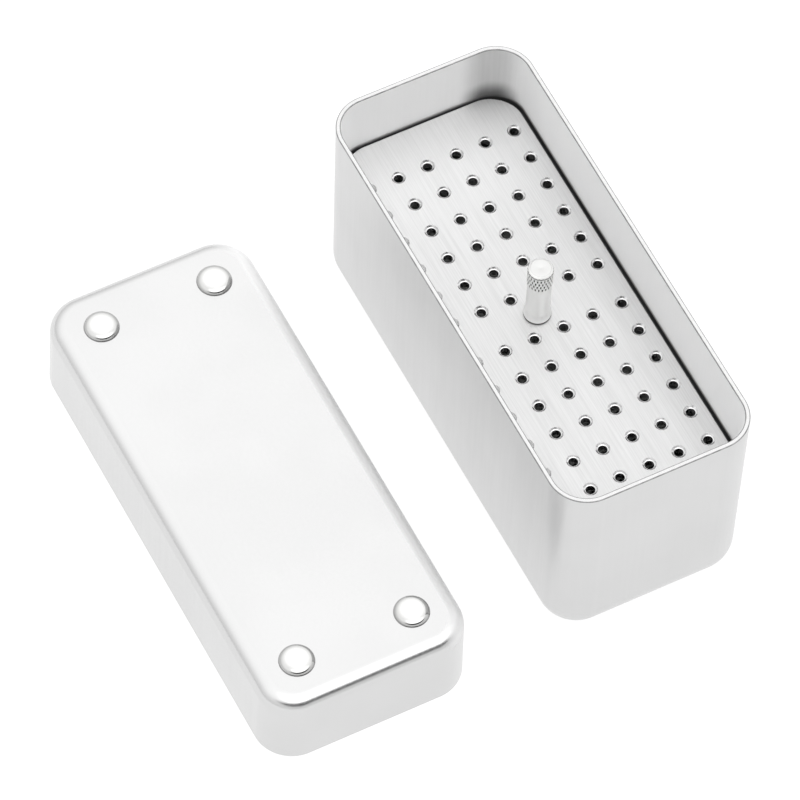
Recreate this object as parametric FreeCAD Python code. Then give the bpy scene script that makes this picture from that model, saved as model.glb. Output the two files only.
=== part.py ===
import FreeCAD, Part
import math
import os

# Endodontic box: a drawn box with a rack of file holes that lifts out by a post, and its lid lying beside it.
# Sizes are in millimetres and angles in degrees. The origin is the middle of the box's underside.
# X runs along the box, Y across it and Z up. The lid lies on the -Y side, open side down.

# Grid of file holes, in two groups with a wider gap in the middle for the lifting post
hole_columns = 6
rows_per_group = 6
column_pitch = 6.5
row_pitch = 7.13
middle_gap_extra = 3.06
hole_diameter = 1.95
guide_hole_side = 2.6

# Box, measured outside at the rim
box_length = 104.4
box_width = 43.0
box_height = 49.4
box_corner_radius = 8.0
box_wall = 1.0
box_floor = 1.0
box_bottom_radius = 6.8
box_draft = 0.5
rim_break = 0.2

# Lid, a cap that slips over the box's rim until its draft takes up the clearance
lid_rim_clearance = 0.12
lid_wall = 0.7
lid_height = 18.7
lid_corner_radius = 8.0
lid_top_radius = 3.3
lid_draft = 0.6
lid_beside_box = 17.7
lid_shift_along = -0.85

# Studs riveted to the lid's top, with a low crown and a round shoulder
stud_spacing_along = 86.0
stud_spacing_across = 25.0
stud_head_diameter = 7.3
stud_head_height = 1.25
stud_crown_radius = 14.0
stud_shoulder_radius = 1.3
stud_shank_diameter = 3.0
stud_shank_clearance = 0.04
stud_tail_diameter = 4.6
stud_tail_height = 0.8
stud_tail_chamfer = 0.5

# Rack plates
file_length = 31.0
file_tip_clearance = 2.0
top_plate_thickness = 2.0
plate_end_clearance = 0.6
plate_side_clearance = 0.85
plate_corner_radius = 7.0
plate_edge_break = 0.15
guide_plate_thickness = 1.0
guide_plate_inset = 1.0
guide_plate_drop = 15.0

# Pillars between the plates, and feet below them
pillar_diameter = 5.0
pillar_end_break = 0.3
pillar_spigot_diameter = 3.5
pillar_spigot_length = 1.2
press_clearance = 0.03
foot_diameter = 5.0
foot_tip_chamfer = 1.3
foot_thread_diameter = 2.5
foot_thread_length = 5.5
tapped_hole_spare = 0.5
thread_clearance = 0.05
bolt_hole_clearance = 0.1

# Lifting post, with its washer and nut under the top plate
post_height = 16.0
post_collar_diameter = 5.5
post_collar_height = 1.4
post_collar_taper = 1.2
post_shaft_diameter = 4.9
post_knurl_diameter = 5.4
post_knurl_length = 4.8
post_top_chamfer = 0.55
post_knurl_chamfer = 0.25
post_thread_diameter = 3.0
post_thread_end = 1.0
washer_diameter = 7.0
washer_thickness = 0.5
nut_across_flats = 5.5
nut_height = 2.4

# Extra length of a cutting tool past the face that it leaves through
overcut = 1.0

# Places worked out from the sizes above
box_slope = math.tan(math.radians(box_draft))
lid_slope = math.tan(math.radians(lid_draft))
lid_length = box_length + 2 * (lid_rim_clearance + lid_wall)
lid_width = box_width + 2 * (lid_rim_clearance + lid_wall)
lid_centre_y = -(box_width / 2 + lid_beside_box + lid_width / 2)
plate_top = box_floor + file_length + file_tip_clearance
plate_underside = plate_top - top_plate_thickness
guide_top = plate_underside - guide_plate_drop
guide_underside = guide_top - guide_plate_thickness
inside_draft_loss = (box_height - plate_top) * box_slope
plate_length = box_length - 2 * (box_wall + inside_draft_loss + plate_end_clearance)
plate_width = box_width - 2 * (box_wall + inside_draft_loss + plate_side_clearance)


def row_places():
    """X of every row of holes, from one end of the rack to the other."""
    first = (row_pitch + middle_gap_extra) / 2
    half = [first + row_pitch * row for row in range(rows_per_group)]
    return [-x for x in reversed(half)] + half


def column_places():
    """Y of every column of holes."""
    middle = (hole_columns - 1) / 2
    return [(column - middle) * column_pitch for column in range(hole_columns)]


def hole_places():
    return [(x, y) for x in row_places() for y in column_places()]


def pillar_places():
    """The pillars stand in the grid's four corners, midway between the last two rows and columns."""
    rows = row_places()
    columns = column_places()
    x = (rows[-1] + rows[-2]) / 2
    y = (columns[-1] + columns[-2]) / 2
    return [(-x, -y), (-x, y), (x, -y), (x, y)]


def stud_places():
    x = stud_spacing_along / 2
    y = stud_spacing_across / 2
    return [(lid_shift_along + i * x, lid_centre_y + j * y) for i in (-1, 1) for j in (-1, 1)]


def rounded_outline(length, width, radius, z):
    """Closed rectangle with round corners, centred on the Z axis."""
    x = length / 2
    y = width / 2
    inner_x = x - radius
    inner_y = y - radius
    bulge = radius * math.sqrt(0.5)
    edges = []
    for sx, sy in ((1, 1), (-1, 1), (-1, -1), (1, -1)):
        side_point = FreeCAD.Vector(sx * x, sy * inner_y, z)
        middle = FreeCAD.Vector(sx * (inner_x + bulge), sy * (inner_y + bulge), z)
        end_point = FreeCAD.Vector(sx * inner_x, sy * y, z)
        corner = (side_point, middle, end_point) if sx == sy else (end_point, middle, side_point)
        if edges:
            edges.append(Part.makeLine(edges[-1].Vertexes[-1].Point, corner[0]))
        edges.append(Part.Arc(*corner).toShape())
    edges.append(Part.makeLine(edges[-1].Vertexes[-1].Point, edges[0].Vertexes[0].Point))
    return Part.Wire(edges)


def drafted_block(length, width, radius, sized_at, low, high, slope):
    """Block with round corners whose sides widen upwards by slope. Its sizes hold at the height sized_at."""
    outlines = []
    for z in (low, high):
        growth = slope * (z - sized_at)
        outlines.append(rounded_outline(length + 2 * growth, width + 2 * growth, radius + growth, z))
    return Part.makeLoft(outlines, True, True)


def flat_plate(length, width, radius, underside, thickness):
    face = Part.Face(rounded_outline(length, width, radius, underside))
    return face.extrude(FreeCAD.Vector(0, 0, thickness))


def edges_at(shape, z):
    """The edges of a shape that lie flat at one height."""
    flat = 1e-4
    return [e for e in shape.Edges if abs(e.BoundBox.ZMin - z) < flat and abs(e.BoundBox.ZMax - z) < flat]


def turned(x, y, profile):
    """Solid turned about the vertical through (x, y). The profile is a closed run of (radius, height)
    corners. A corner with four numbers is reached by an arc through its first two."""
    edges = []
    start = FreeCAD.Vector(profile[0][0], 0, profile[0][1])
    here = start
    for corner in profile[1:] + profile[:1]:
        there = FreeCAD.Vector(corner[-2], 0, corner[-1])
        if len(corner) == 4:
            edges.append(Part.Arc(here, FreeCAD.Vector(corner[0], 0, corner[1]), there).toShape())
        else:
            edges.append(Part.makeLine(here, there))
        here = there
    face = Part.Face(Part.Wire(edges))
    solid = face.revolve(FreeCAD.Vector(0, 0, 0), FreeCAD.Vector(0, 0, 1), 360)
    solid.translate(FreeCAD.Vector(x, y, 0))
    return solid


def on_circle(centre_r, centre_z, radius, angle):
    """Point of a profile on a circle, at an angle above the horizontal."""
    return centre_r + radius * math.cos(angle), centre_z + radius * math.sin(angle)


def drill(x, y, diameter, low, high):
    return Part.makeCylinder(diameter / 2, high - low, FreeCAD.Vector(x, y, low))


def box_body():
    """Drawn box: drafted walls, a large radius round the floor and a trimmed rim with its edges broken."""
    outer = drafted_block(box_length, box_width, box_corner_radius, box_height, 0, box_height, box_slope)
    outer = outer.makeFillet(box_bottom_radius, edges_at(outer, 0))
    inner = drafted_block(
        box_length - 2 * box_wall, box_width - 2 * box_wall, box_corner_radius - box_wall,
        box_height, box_floor, box_height + overcut, box_slope,
    )
    inner = inner.makeFillet(box_bottom_radius - box_floor, edges_at(inner, box_floor))
    shell = outer.cut(inner)
    return shell.makeChamfer(rim_break, edges_at(shell, box_height))


def lid_shell():
    """Drawn lid, open side down, with a soft radius round its top and four holes for the studs."""
    outer = drafted_block(lid_length, lid_width, lid_corner_radius, 0, 0, lid_height, -lid_slope)
    outer = outer.makeFillet(lid_top_radius, edges_at(outer, lid_height))
    inside_top = lid_height - lid_wall
    inner = drafted_block(
        lid_length - 2 * lid_wall, lid_width - 2 * lid_wall, lid_corner_radius - lid_wall,
        0, -overcut, inside_top, -lid_slope,
    )
    inner = inner.makeFillet(lid_top_radius - lid_wall, edges_at(inner, inside_top))
    shell = outer.cut(inner)
    shell = shell.makeChamfer(rim_break, edges_at(shell, 0))
    shell.translate(FreeCAD.Vector(lid_shift_along, lid_centre_y, 0))
    hole = stud_shank_diameter + 2 * stud_shank_clearance
    holes = [drill(x, y, hole, inside_top - overcut, lid_height + overcut) for x, y in stud_places()]
    return shell.cut(Part.makeCompound(holes))


def lid_stud(x, y):
    """Stud: low polished head outside, shank through the lid, tail peened over inside. The head's shoulder
    is an arc that starts on the lid and runs on smoothly into the crown."""
    inside_top = lid_height - lid_wall
    top = lid_height + stud_head_height
    shank = stud_shank_diameter / 2
    tail = stud_tail_diameter / 2
    crown_z = top - stud_crown_radius
    shoulder_r = stud_head_diameter / 2 - stud_shoulder_radius
    between_centres = stud_crown_radius - stud_shoulder_radius
    shoulder_z = crown_z + math.sqrt(between_centres ** 2 - shoulder_r ** 2)
    foot = math.asin((lid_height - shoulder_z) / stud_shoulder_radius)
    meeting = math.acos(shoulder_r / between_centres)
    apex = math.pi / 2
    shoulder = (shoulder_r, shoulder_z, stud_shoulder_radius)
    crown = (0, crown_z, stud_crown_radius)
    return turned(x, y, [
        (0, inside_top - stud_tail_height),
        (tail - stud_tail_chamfer, inside_top - stud_tail_height),
        (tail, inside_top - stud_tail_height + stud_tail_chamfer),
        (tail, inside_top),
        (shank, inside_top),
        (shank, lid_height),
        on_circle(*shoulder, foot),
        (*on_circle(*shoulder, (foot + meeting) / 2), *on_circle(*shoulder, meeting)),
        (*on_circle(*crown, (meeting + apex) / 2), 0, top),
    ])


def rack_top_plate():
    """Perforated plate that the files stand in. Blind holes below take the pillars' spigots."""
    plate = flat_plate(plate_length, plate_width, plate_corner_radius, plate_underside, top_plate_thickness)
    plate = plate.makeChamfer(plate_edge_break, edges_at(plate, plate_top) + edges_at(plate, plate_underside))
    low = plate_underside - overcut
    high = plate_top + overcut
    tools = [drill(x, y, hole_diameter, low, high) for x, y in hole_places()]
    spigot_hole = pillar_spigot_diameter + 2 * press_clearance
    spigot_end = plate_underside + pillar_spigot_length
    for x, y in pillar_places():
        tools.append(drill(x, y, spigot_hole, low, spigot_end))
    post_hole = post_thread_diameter + 2 * bolt_hole_clearance
    tools.append(drill(0, 0, post_hole, low, high))
    return plate.cut(Part.makeCompound(tools))


def rack_guide_plate():
    """Thin plate half way down, with a square punched hole under each file hole to keep the files upright."""
    length = plate_length - 2 * guide_plate_inset
    width = plate_width - 2 * guide_plate_inset
    plate = flat_plate(length, width, plate_corner_radius - guide_plate_inset, guide_underside, guide_plate_thickness)
    side = guide_hole_side
    tools = []
    for x, y in hole_places():
        corner = FreeCAD.Vector(x - side / 2, y - side / 2, guide_underside - overcut)
        tools.append(Part.makeBox(side, side, guide_plate_thickness + 2 * overcut, corner))
    screw_hole = foot_thread_diameter + 2 * bolt_hole_clearance
    for x, y in pillar_places():
        tools.append(drill(x, y, screw_hole, guide_underside - overcut, guide_top + overcut))
    return plate.cut(Part.makeCompound(tools))


def rack_pillar(x, y):
    """Turned pillar: its spigot is pressed into the top plate, and its lower end is tapped for a foot."""
    radius = pillar_diameter / 2
    spigot = pillar_spigot_diameter / 2
    tapped = foot_thread_diameter / 2 + thread_clearance
    tapped_top = guide_top + foot_thread_length - guide_plate_thickness + tapped_hole_spare
    return turned(x, y, [
        (0, tapped_top),
        (tapped, tapped_top),
        (tapped, guide_top),
        (radius - pillar_end_break, guide_top),
        (radius, guide_top + pillar_end_break),
        (radius, plate_underside),
        (spigot, plate_underside),
        (spigot, plate_underside + pillar_spigot_length),
        (0, plate_underside + pillar_spigot_length),
    ])


def rack_foot(x, y):
    """Turned foot with a tapering tip that clears the radius round the box's floor, and a screwed top end."""
    radius = foot_diameter / 2
    thread = foot_thread_diameter / 2
    return turned(x, y, [
        (0, box_floor),
        (radius - foot_tip_chamfer, box_floor),
        (radius, box_floor + foot_tip_chamfer),
        (radius, guide_underside),
        (thread, guide_underside),
        (thread, guide_underside + foot_thread_length),
        (0, guide_underside + foot_thread_length),
    ])


def lifting_post():
    """Turned post: collar that tapers to a plain shaft, knurled head, and a thread down through the plate."""
    collar = post_collar_diameter / 2
    shaft = post_shaft_diameter / 2
    knurl = post_knurl_diameter / 2
    thread = post_thread_diameter / 2
    top = plate_top + post_height
    collar_top = plate_top + post_collar_height
    knurl_low = top - post_top_chamfer - post_knurl_length
    thread_low = plate_underside - washer_thickness - nut_height - post_thread_end
    return turned(0, 0, [
        (0, thread_low),
        (thread, thread_low),
        (thread, plate_top),
        (collar, plate_top),
        (collar, collar_top),
        (shaft, collar_top + post_collar_taper),
        (shaft, knurl_low),
        (knurl, knurl_low + post_knurl_chamfer),
        (knurl, top - post_top_chamfer),
        (knurl - post_top_chamfer, top),
        (0, top),
    ])


def post_washer():
    low = plate_underside - washer_thickness
    inner = post_thread_diameter / 2 + bolt_hole_clearance
    outer = washer_diameter / 2
    return turned(0, 0, [(inner, low), (outer, low), (outer, plate_underside), (inner, plate_underside)])


def post_nut():
    """Hexagon nut with its corners turned off at both ends."""
    high = plate_underside - washer_thickness
    low = high - nut_height
    corner_radius = nut_across_flats / math.sqrt(3)
    break_height = (corner_radius - nut_across_flats / 2) * math.tan(math.radians(30))
    corners = []
    for step in range(7):
        angle = math.radians(60 * step)
        corners.append(FreeCAD.Vector(corner_radius * math.cos(angle), corner_radius * math.sin(angle), low))
    hexagon = Part.Face(Part.makePolygon(corners)).extrude(FreeCAD.Vector(0, 0, nut_height))
    blank = turned(0, 0, [
        (0, low),
        (nut_across_flats / 2, low),
        (corner_radius, low + break_height),
        (corner_radius, high - break_height),
        (nut_across_flats / 2, high),
        (0, high),
    ])
    bore = drill(0, 0, post_thread_diameter + 2 * thread_clearance, low - overcut, high + overcut)
    return hexagon.common(blank).cut(bore)


def all_parts():
    parts = {
        "box_body": box_body(),
        "lid_shell": lid_shell(),
        "rack_top_plate": rack_top_plate(),
        "rack_guide_plate": rack_guide_plate(),
        "lifting_post": lifting_post(),
        "post_washer": post_washer(),
        "post_nut": post_nut(),
    }
    for number, (x, y) in enumerate(stud_places(), 1):
        parts[f"lid_stud_{number}"] = lid_stud(x, y)
    for number, (x, y) in enumerate(pillar_places(), 1):
        parts[f"rack_pillar_{number}"] = rack_pillar(x, y)
        parts[f"rack_foot_{number}"] = rack_foot(x, y)
    return parts


os.makedirs("parts", exist_ok=True)
for node, shape in all_parts().items():
    shape.exportStep(f"parts/{node}.step")
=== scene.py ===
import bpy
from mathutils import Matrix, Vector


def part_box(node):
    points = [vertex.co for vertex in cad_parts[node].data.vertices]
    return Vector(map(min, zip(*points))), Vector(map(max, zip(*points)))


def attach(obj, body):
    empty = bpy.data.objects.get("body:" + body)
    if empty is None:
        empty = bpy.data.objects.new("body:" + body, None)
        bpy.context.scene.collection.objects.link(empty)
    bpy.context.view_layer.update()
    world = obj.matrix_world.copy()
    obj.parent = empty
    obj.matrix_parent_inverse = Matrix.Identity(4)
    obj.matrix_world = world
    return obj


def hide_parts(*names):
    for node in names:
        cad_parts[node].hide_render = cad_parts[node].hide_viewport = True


bl_info = {
    "name": "Endodontic Box",
    "version": (1, 0, 0),
    "blender": (4, 5, 0),
    "location": "View3D > Sidebar > Endodontic Box",
    "description": "Models a drawn aluminium endodontic box with its lift-out file rack and its lid",
    "category": "Add Mesh",
}

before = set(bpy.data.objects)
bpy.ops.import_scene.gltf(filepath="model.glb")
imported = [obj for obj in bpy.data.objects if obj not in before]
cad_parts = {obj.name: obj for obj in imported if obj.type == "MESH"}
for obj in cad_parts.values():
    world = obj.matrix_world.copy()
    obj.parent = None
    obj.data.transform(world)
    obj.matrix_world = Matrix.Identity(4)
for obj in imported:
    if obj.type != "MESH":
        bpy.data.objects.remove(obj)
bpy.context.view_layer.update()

import math

import bmesh
import bpy
from bpy.props import FloatProperty, FloatVectorProperty, IntProperty, PointerProperty
from mathutils import Quaternion, Vector

MM = 0.001
MERGE_DISTANCE = 0.001 * MM
# Points this near to a height lie on it: those of a face or edge, and those of a ring of a turned piece
LEVEL_TOLERANCE = 0.05 * MM
RING_TOLERANCE = 0.01 * MM
# How far a tool reaches past what it cuts
OVERCUT = 1.0 * MM
# The studs, pillars and feet are each numbered 1 to 4
FOUR = range(1, 5)


def linear(hex_colour):
    """Turns an sRGB hex colour to the linear values that the shaders work in."""
    channels = [int(hex_colour[i:i + 2], 16) / 255 for i in (1, 3, 5)]
    return [c / 12.92 if c <= 0.04045 else ((c + 0.055) / 1.055) ** 2.4 for c in channels]


def length(name, description, millimetres):
    """A size in the sidebar, given in millimetres and kept in metres."""
    return FloatProperty(name=name, description=description, default=millimetres * MM, unit="LENGTH")


def count(name, description, default, least):
    return IntProperty(name=name, description=description, default=default, min=least)


def slope(name, description, degrees):
    return FloatProperty(name=name, description=description, default=math.radians(degrees), unit="ROTATION")


def colour(name, description, hex_colour):
    return FloatVectorProperty(
        name=name, description=description, default=linear(hex_colour), subtype="COLOR", min=0, max=1,
    )


class ShellSizes(bpy.types.PropertyGroup):
    """Sizes of the drawn box and lid that their outside measures don't give."""

    box_wall: length("Box wall", "Thickness of the box's sheet", 1.0)
    box_corner_radius: length("Box corner", "Radius of the box's upright corners", 8.0)
    box_bottom_radius: length("Box bottom radius", "Radius between the box's walls and its floor", 6.8)
    box_draft: slope("Box draft", "Lean of the box's walls", 0.5)
    lid_wall: length("Lid wall", "Thickness of the lid's sheet", 0.7)
    lid_corner_radius: length("Lid corner", "Radius of the lid's upright corners", 8.0)
    lid_top_radius: length("Lid top radius", "Radius between the lid's walls and its top", 3.3)
    lid_draft: slope("Lid draft", "Lean of the lid's walls", 0.6)
    rim_round: length("Rim edge", "Rounding of the two edges of a trimmed rim", 0.2)
    stud_hole_diameter: length("Stud hole", "Holes in the lid for the studs' shanks", 3.08)


class RackSizes(bpy.types.PropertyGroup):
    """Sizes of the two perforated plates and of what stands between and below them."""

    columns: count("Columns", "File holes across the rack", 6, 1)
    rows_per_group: count("Rows in a group", "Rows of file holes on each side of the post", 6, 1)
    column_pitch: length("Column pitch", "Distance between holes across the rack", 6.5)
    row_pitch: length("Row pitch", "Distance between holes along the rack", 7.13)
    middle_gap_extra: length("Middle gap", "Extra distance between the two groups of rows", 3.06)
    hole_diameter: length("File hole", "Bore of a file hole", 1.95)
    countersink_diameter: length("Countersink", "Mouth of a file hole's countersink", 2.9)
    plate_corner_radius: length("Plate corner", "Corner radius of the top plate", 7.0)
    plate_edge_round: length("Plate edge", "Broken edge round both plates", 0.15)
    guide_plate_corner_radius: length("Guide plate corner", "Corner radius of the guide plate", 6.0)
    guide_hole_side: length("Guide hole", "Side of a square guide hole", 2.6)
    guide_hole_corner: length("Guide hole corner", "Corner radius of a square guide hole", 0.3)
    post_hole_diameter: length("Post hole", "Hole in the top plate for the post's thread", 3.2)
    screw_hole_diameter: length("Screw hole", "Hole in the guide plate for a foot's thread", 2.7)
    spigot_diameter: length("Spigot", "Turned end of a pillar, pressed into the top plate", 3.5)
    spigot_length: length("Spigot length", "Depth of a spigot in the top plate", 1.2)
    pillar_end_break: length("Pillar end", "Broken edge at a pillar's lower end", 0.3)
    foot_thread_diameter: length("Foot thread", "Screwed end of a foot", 2.5)
    foot_tip_taper: length("Foot tip", "Taper at the tip of a foot", 1.3)


class PostSizes(bpy.types.PropertyGroup):
    """Sizes of the lifting post and of what fastens it."""

    collar_height: length("Collar", "Straight height of the collar on the plate", 1.4)
    collar_taper: length("Collar taper", "Height of the taper from the collar to the shaft", 1.2)
    shaft_diameter: length("Shaft", "Diameter of the plain shaft", 4.9)
    knurl_length: length("Knurl length", "Length of the knurled band", 4.8)
    knurl_depth: length("Knurl depth", "Height of the diamonds above the shaft", 0.2)
    diamonds_round: count("Diamonds", "Knurled diamonds round the head", 22, 6)
    diamonds_high: count("Diamond rows", "Half diamonds along the band", 5, 2)
    top_chamfer: length("Top chamfer", "Chamfer round the top of the head", 0.55)
    thread_diameter: length("Thread", "Thread that goes down through the plate", 3.0)
    thread_pitch: length("Thread pitch", "Distance between the thread's turns", 0.5)


class StudSizes(bpy.types.PropertyGroup):
    """Sizes of the studs on the lid."""

    crown_radius: length("Crown radius", "Radius of the low crown of a stud's head", 14.0)
    shoulder_radius: length("Shoulder radius", "Radius of the round edge of a stud's head", 1.3)
    shank_diameter: length("Shank", "Diameter of a stud's shank", 3.0)
    tail_diameter: length("Tail", "Diameter of a stud's peened tail", 4.6)
    tail_height: length("Tail height", "Height of a stud's peened tail", 0.8)


class Finishes(bpy.types.PropertyGroup):
    """Colours of the metals and of the stage."""

    satin_sheet: colour("Satin sheet", "Outside of the lid", "#D4D4D4")
    # A little darker than the lid's sheet, as painted shade
    matt_sheet: colour("Matt sheet", "Outside of the box", "#D2D2D2")
    # Lighter than the outside sheet, as painted light
    drawn_inside: colour("Drawn inside", "Plain inside of the box", "#F5F5F5")
    trimmed_rim: colour("Trimmed rim", "Cut and polished rims of the box and lid", "#D6D6D6")
    # Rim's rounded edges, darkened as painted shade
    rim_edge: colour("Rim edge", "Burnished edges of the box's rim", "#A0A0A0")
    # Colour of the painted highlight along the lid's rounded edge
    worn_edge: colour("Worn edge", "Lid's rounded edge, rubbed bright", "#F3F3F3")
    brushed_aluminium: colour("Brushed aluminium", "Plates of the rack", "#E0E0E0")
    cut_aluminium: colour("Cut aluminium", "Drilled and countersunk holes of the top plate", "#DCDCDC")
    turned_aluminium: colour("Turned aluminium", "Pillars and feet", "#DCDDDE")
    turned_steel: colour("Turned steel", "Lifting post", "#F6F6F5")
    plated_steel: colour("Plated steel", "Nut and washer", "#C9CACB")
    polished_steel: colour("Polished steel", "Studs", "#E2E2E1")
    floor: colour("Floor", "Lit white table", "#606060")


class EndodonticBoxSettings(bpy.types.PropertyGroup):
    """All the settings of the model."""

    shells: PointerProperty(type=ShellSizes)
    rack: PointerProperty(type=RackSizes)
    post: PointerProperty(type=PostSizes)
    studs: PointerProperty(type=StudSizes)
    finishes: PointerProperty(type=Finishes)


def settings():
    return bpy.context.scene.endodontic_box


def clear_selection():
    """Leaves edit mode with nothing selected, so that the next operator acts on its own piece alone."""
    if bpy.context.mode != "OBJECT":
        bpy.ops.object.mode_set(mode="OBJECT")
    bpy.ops.object.select_all(action="DESELECT")


def activate(piece):
    clear_selection()
    piece.select_set(True)
    bpy.context.view_layer.objects.active = piece


def edit(piece):
    activate(piece)
    bpy.ops.object.mode_set(mode="EDIT")


def pick(kind, test):
    """Picks the vertices, edges or faces of the piece in edit mode that pass a test."""
    bpy.ops.mesh.select_mode(type=kind)
    bpy.ops.mesh.select_all(action="DESELECT")
    data = bpy.context.object.data
    mesh = bmesh.from_edit_mesh(data)
    elements = {"VERT": mesh.verts, "EDGE": mesh.edges, "FACE": mesh.faces}[kind]
    for element in elements:
        if test(element):
            element.select_set(True)
    bmesh.update_edit_mesh(data)


def lies_at(height):
    """Test for an edge or face that lies flat at one height."""
    return lambda element: all(abs(vertex.co.z - height) < LEVEL_TOLERANCE for vertex in element.verts)


def stands_up(edge):
    """Test for an upright edge, which may lean by its wall's draft."""
    run = edge.verts[1].co - edge.verts[0].co
    return abs(run.z) > 0.9 * run.length


def is_rim_edge(height):
    """Test for the edges of a trimmed rim, where its flat ring meets the walls at about a right angle."""
    flat = lies_at(height)
    sharp = math.radians(60)
    return lambda edge: flat(edge) and len(edge.link_faces) == 2 and edge.calc_face_angle() > sharp


def round_edges(radius, segments):
    """Bevels what is picked to a round of the given radius."""
    bpy.ops.mesh.bevel(offset=radius, offset_type="OFFSET", segments=segments, profile=0.5, affect="EDGES")


def modify(piece, kind, **values):
    """Adds a modifier, sets it and applies it."""
    activate(piece)
    bpy.ops.object.modifier_add(type=kind)
    modifier = piece.modifiers[-1]
    for name, value in values.items():
        setattr(modifier, name, value)
    bpy.ops.object.modifier_apply(modifier=modifier.name)


def cut_with(piece, tools):
    """Cuts all the tools out of a piece, and removes them."""
    tool = joined(tools)
    modify(piece, "BOOLEAN", operation="DIFFERENCE", solver="EXACT", object=tool)
    bpy.data.objects.remove(tool)


def joined(pieces):
    activate(pieces[0])
    for other in pieces[1:]:
        other.select_set(True)
    bpy.ops.object.join()
    return bpy.context.object


def copied(piece, name, shift):
    """A copy of a piece with a mesh of its own, whose place is in that mesh."""
    activate(piece)
    bpy.ops.object.duplicate(linked=False)
    copy = bpy.context.object
    copy.name = name
    bpy.ops.transform.translate(value=shift)
    settle(copy)
    return copy


def settle(piece):
    """Puts a piece's place, turn and scale into its mesh."""
    activate(piece)
    bpy.ops.object.transform_apply(location=True, rotation=True, scale=True)


def smooth(piece, crease=35):
    """Shades a piece smooth up to its creases, with flat faces kept truly flat."""
    activate(piece)
    bpy.ops.object.shade_smooth_by_angle(angle=math.radians(crease))
    modify(piece, "WEIGHTED_NORMAL", keep_sharp=True, weight=60)


def rounded_block(name, low, high, corner_radius, narrow_end=None, draft=0.0, segments=16):
    """Block between two corners, with round upright corners. Its walls lean in towards the narrow end."""
    clear_selection()
    size = high - low
    centre = (low + high) / 2
    bpy.ops.mesh.primitive_cube_add(size=1, location=centre, scale=size)
    block = bpy.context.object
    block.name = name
    settle(block)
    edit(block)
    if narrow_end is not None:
        lean = 2 * size.z * math.tan(draft)
        narrower = (1 - lean / size.x, 1 - lean / size.y, 1)
        pick("FACE", lies_at(narrow_end))
        bpy.ops.transform.resize(value=narrower, center_override=(centre.x, centre.y, narrow_end))
    pick("EDGE", stands_up)
    round_edges(corner_radius, segments)
    bpy.ops.object.mode_set(mode="OBJECT")
    return block


def drawn_shell(name, low, high, radii, open_end, closed_end, draft, wall, rim_round):
    """Drawn sheet shell with drafted walls, round corners, a radius at its closed end and a trimmed rim."""
    corner_radius, end_radius = radii
    shell = rounded_block(name, low, high, corner_radius, closed_end, draft, segments=20)
    edit(shell)
    pick("EDGE", lies_at(closed_end))
    round_edges(end_radius, 14)
    pick("FACE", lies_at(open_end))
    bpy.ops.mesh.delete(type="ONLY_FACE")
    bpy.ops.mesh.select_all(action="SELECT")
    bpy.ops.mesh.remove_doubles(threshold=MERGE_DISTANCE)
    bpy.ops.mesh.normals_make_consistent(inside=False)
    modify(shell, "SOLIDIFY", thickness=wall, offset=-1, use_even_offset=True, use_quality_normals=True)
    edit(shell)
    pick("EDGE", is_rim_edge(open_end))
    round_edges(rim_round, 3)
    bpy.ops.object.mode_set(mode="OBJECT")
    return shell


def turned(name, centre, profile, steps=48):
    """Turns a profile of (radius, height) corners about the upright through centre. The profile runs from
    the axis to the axis, or ends where it starts."""
    clear_selection()
    x, y = centre
    first_radius, first_height = profile[0]
    bpy.ops.mesh.primitive_plane_add(size=MM, location=(x + first_radius, y, first_height))
    piece = bpy.context.object
    piece.name = name
    settle(piece)
    edit(piece)
    bpy.ops.mesh.select_mode(type="VERT")
    bpy.ops.mesh.select_all(action="SELECT")
    bpy.ops.mesh.merge(type="CENTER")
    for (radius, height), (next_radius, next_height) in zip(profile, profile[1:]):
        step = (next_radius - radius, 0, next_height - height)
        bpy.ops.mesh.extrude_region_move(TRANSFORM_OT_translate={"value": step})
    bpy.ops.mesh.select_all(action="SELECT")
    bpy.ops.mesh.spin(steps=steps, angle=math.tau, center=(x, y, 0), axis=(0, 0, 1))
    bpy.ops.mesh.select_all(action="SELECT")
    bpy.ops.mesh.remove_doubles(threshold=MERGE_DISTANCE)
    bpy.ops.mesh.normals_make_consistent(inside=False)
    bpy.ops.object.mode_set(mode="OBJECT")
    return piece


def arc(centre, radius, first, last, steps):
    """Corners of an arc in a profile, from one angle to another in degrees, both ends included."""
    radius_of_centre, height = centre
    angles = [math.radians(first + (last - first) * step / steps) for step in range(steps + 1)]
    return [(radius_of_centre + radius * math.cos(a), height + radius * math.sin(a)) for a in angles]


def add_finish(piece, material, test):
    """Gives the faces that pass a test another finish."""
    piece.data.materials.append(material)
    index = len(piece.data.materials) - 1
    for face in piece.data.polygons:
        if test(face):
            face.material_index = index


def looks_in(shell):
    """Test for a face on the inner side of a shell."""
    corners = [vertex.co for vertex in shell.data.vertices]
    lowest = Vector(map(min, zip(*corners)))
    highest = Vector(map(max, zip(*corners)))
    middle = (lowest + highest) / 2
    return lambda face: face.normal.dot(face.center - middle) < 0


def at_rim(rim, rim_round):
    """Test for a face on a rim, its rounded edges included."""
    return lambda face: abs(face.center.z - rim) < rim_round and abs(face.normal.z) > 0


def on_flat_rim(rim, rim_round):
    """Test for a face on the flat band of a rim, between its rounded edges."""
    return lambda face: abs(face.center.z - rim) < rim_round and abs(face.normal.z) > 0.985


def mark(piece, name, amount):
    """Stores a value on each corner of a piece, for its material to read."""
    attribute = piece.data.attributes.new(name, "FLOAT", "POINT")
    for vertex in piece.data.vertices:
        attribute.data[vertex.index].value = amount(vertex)


def eased(value, start, end):
    """Rises from 0 at the start to 1 at the end, and stays level outside them."""
    return min(1, max(0, (value - start) / (end - start)))


def fit(piece, material, body, slot, *nodes):
    """Gives a finished piece its metal, its body and the nodes that it stands for."""
    piece.data.materials.clear()
    piece.data.materials.append(material)
    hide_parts(*nodes)
    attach(piece, body)


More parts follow.
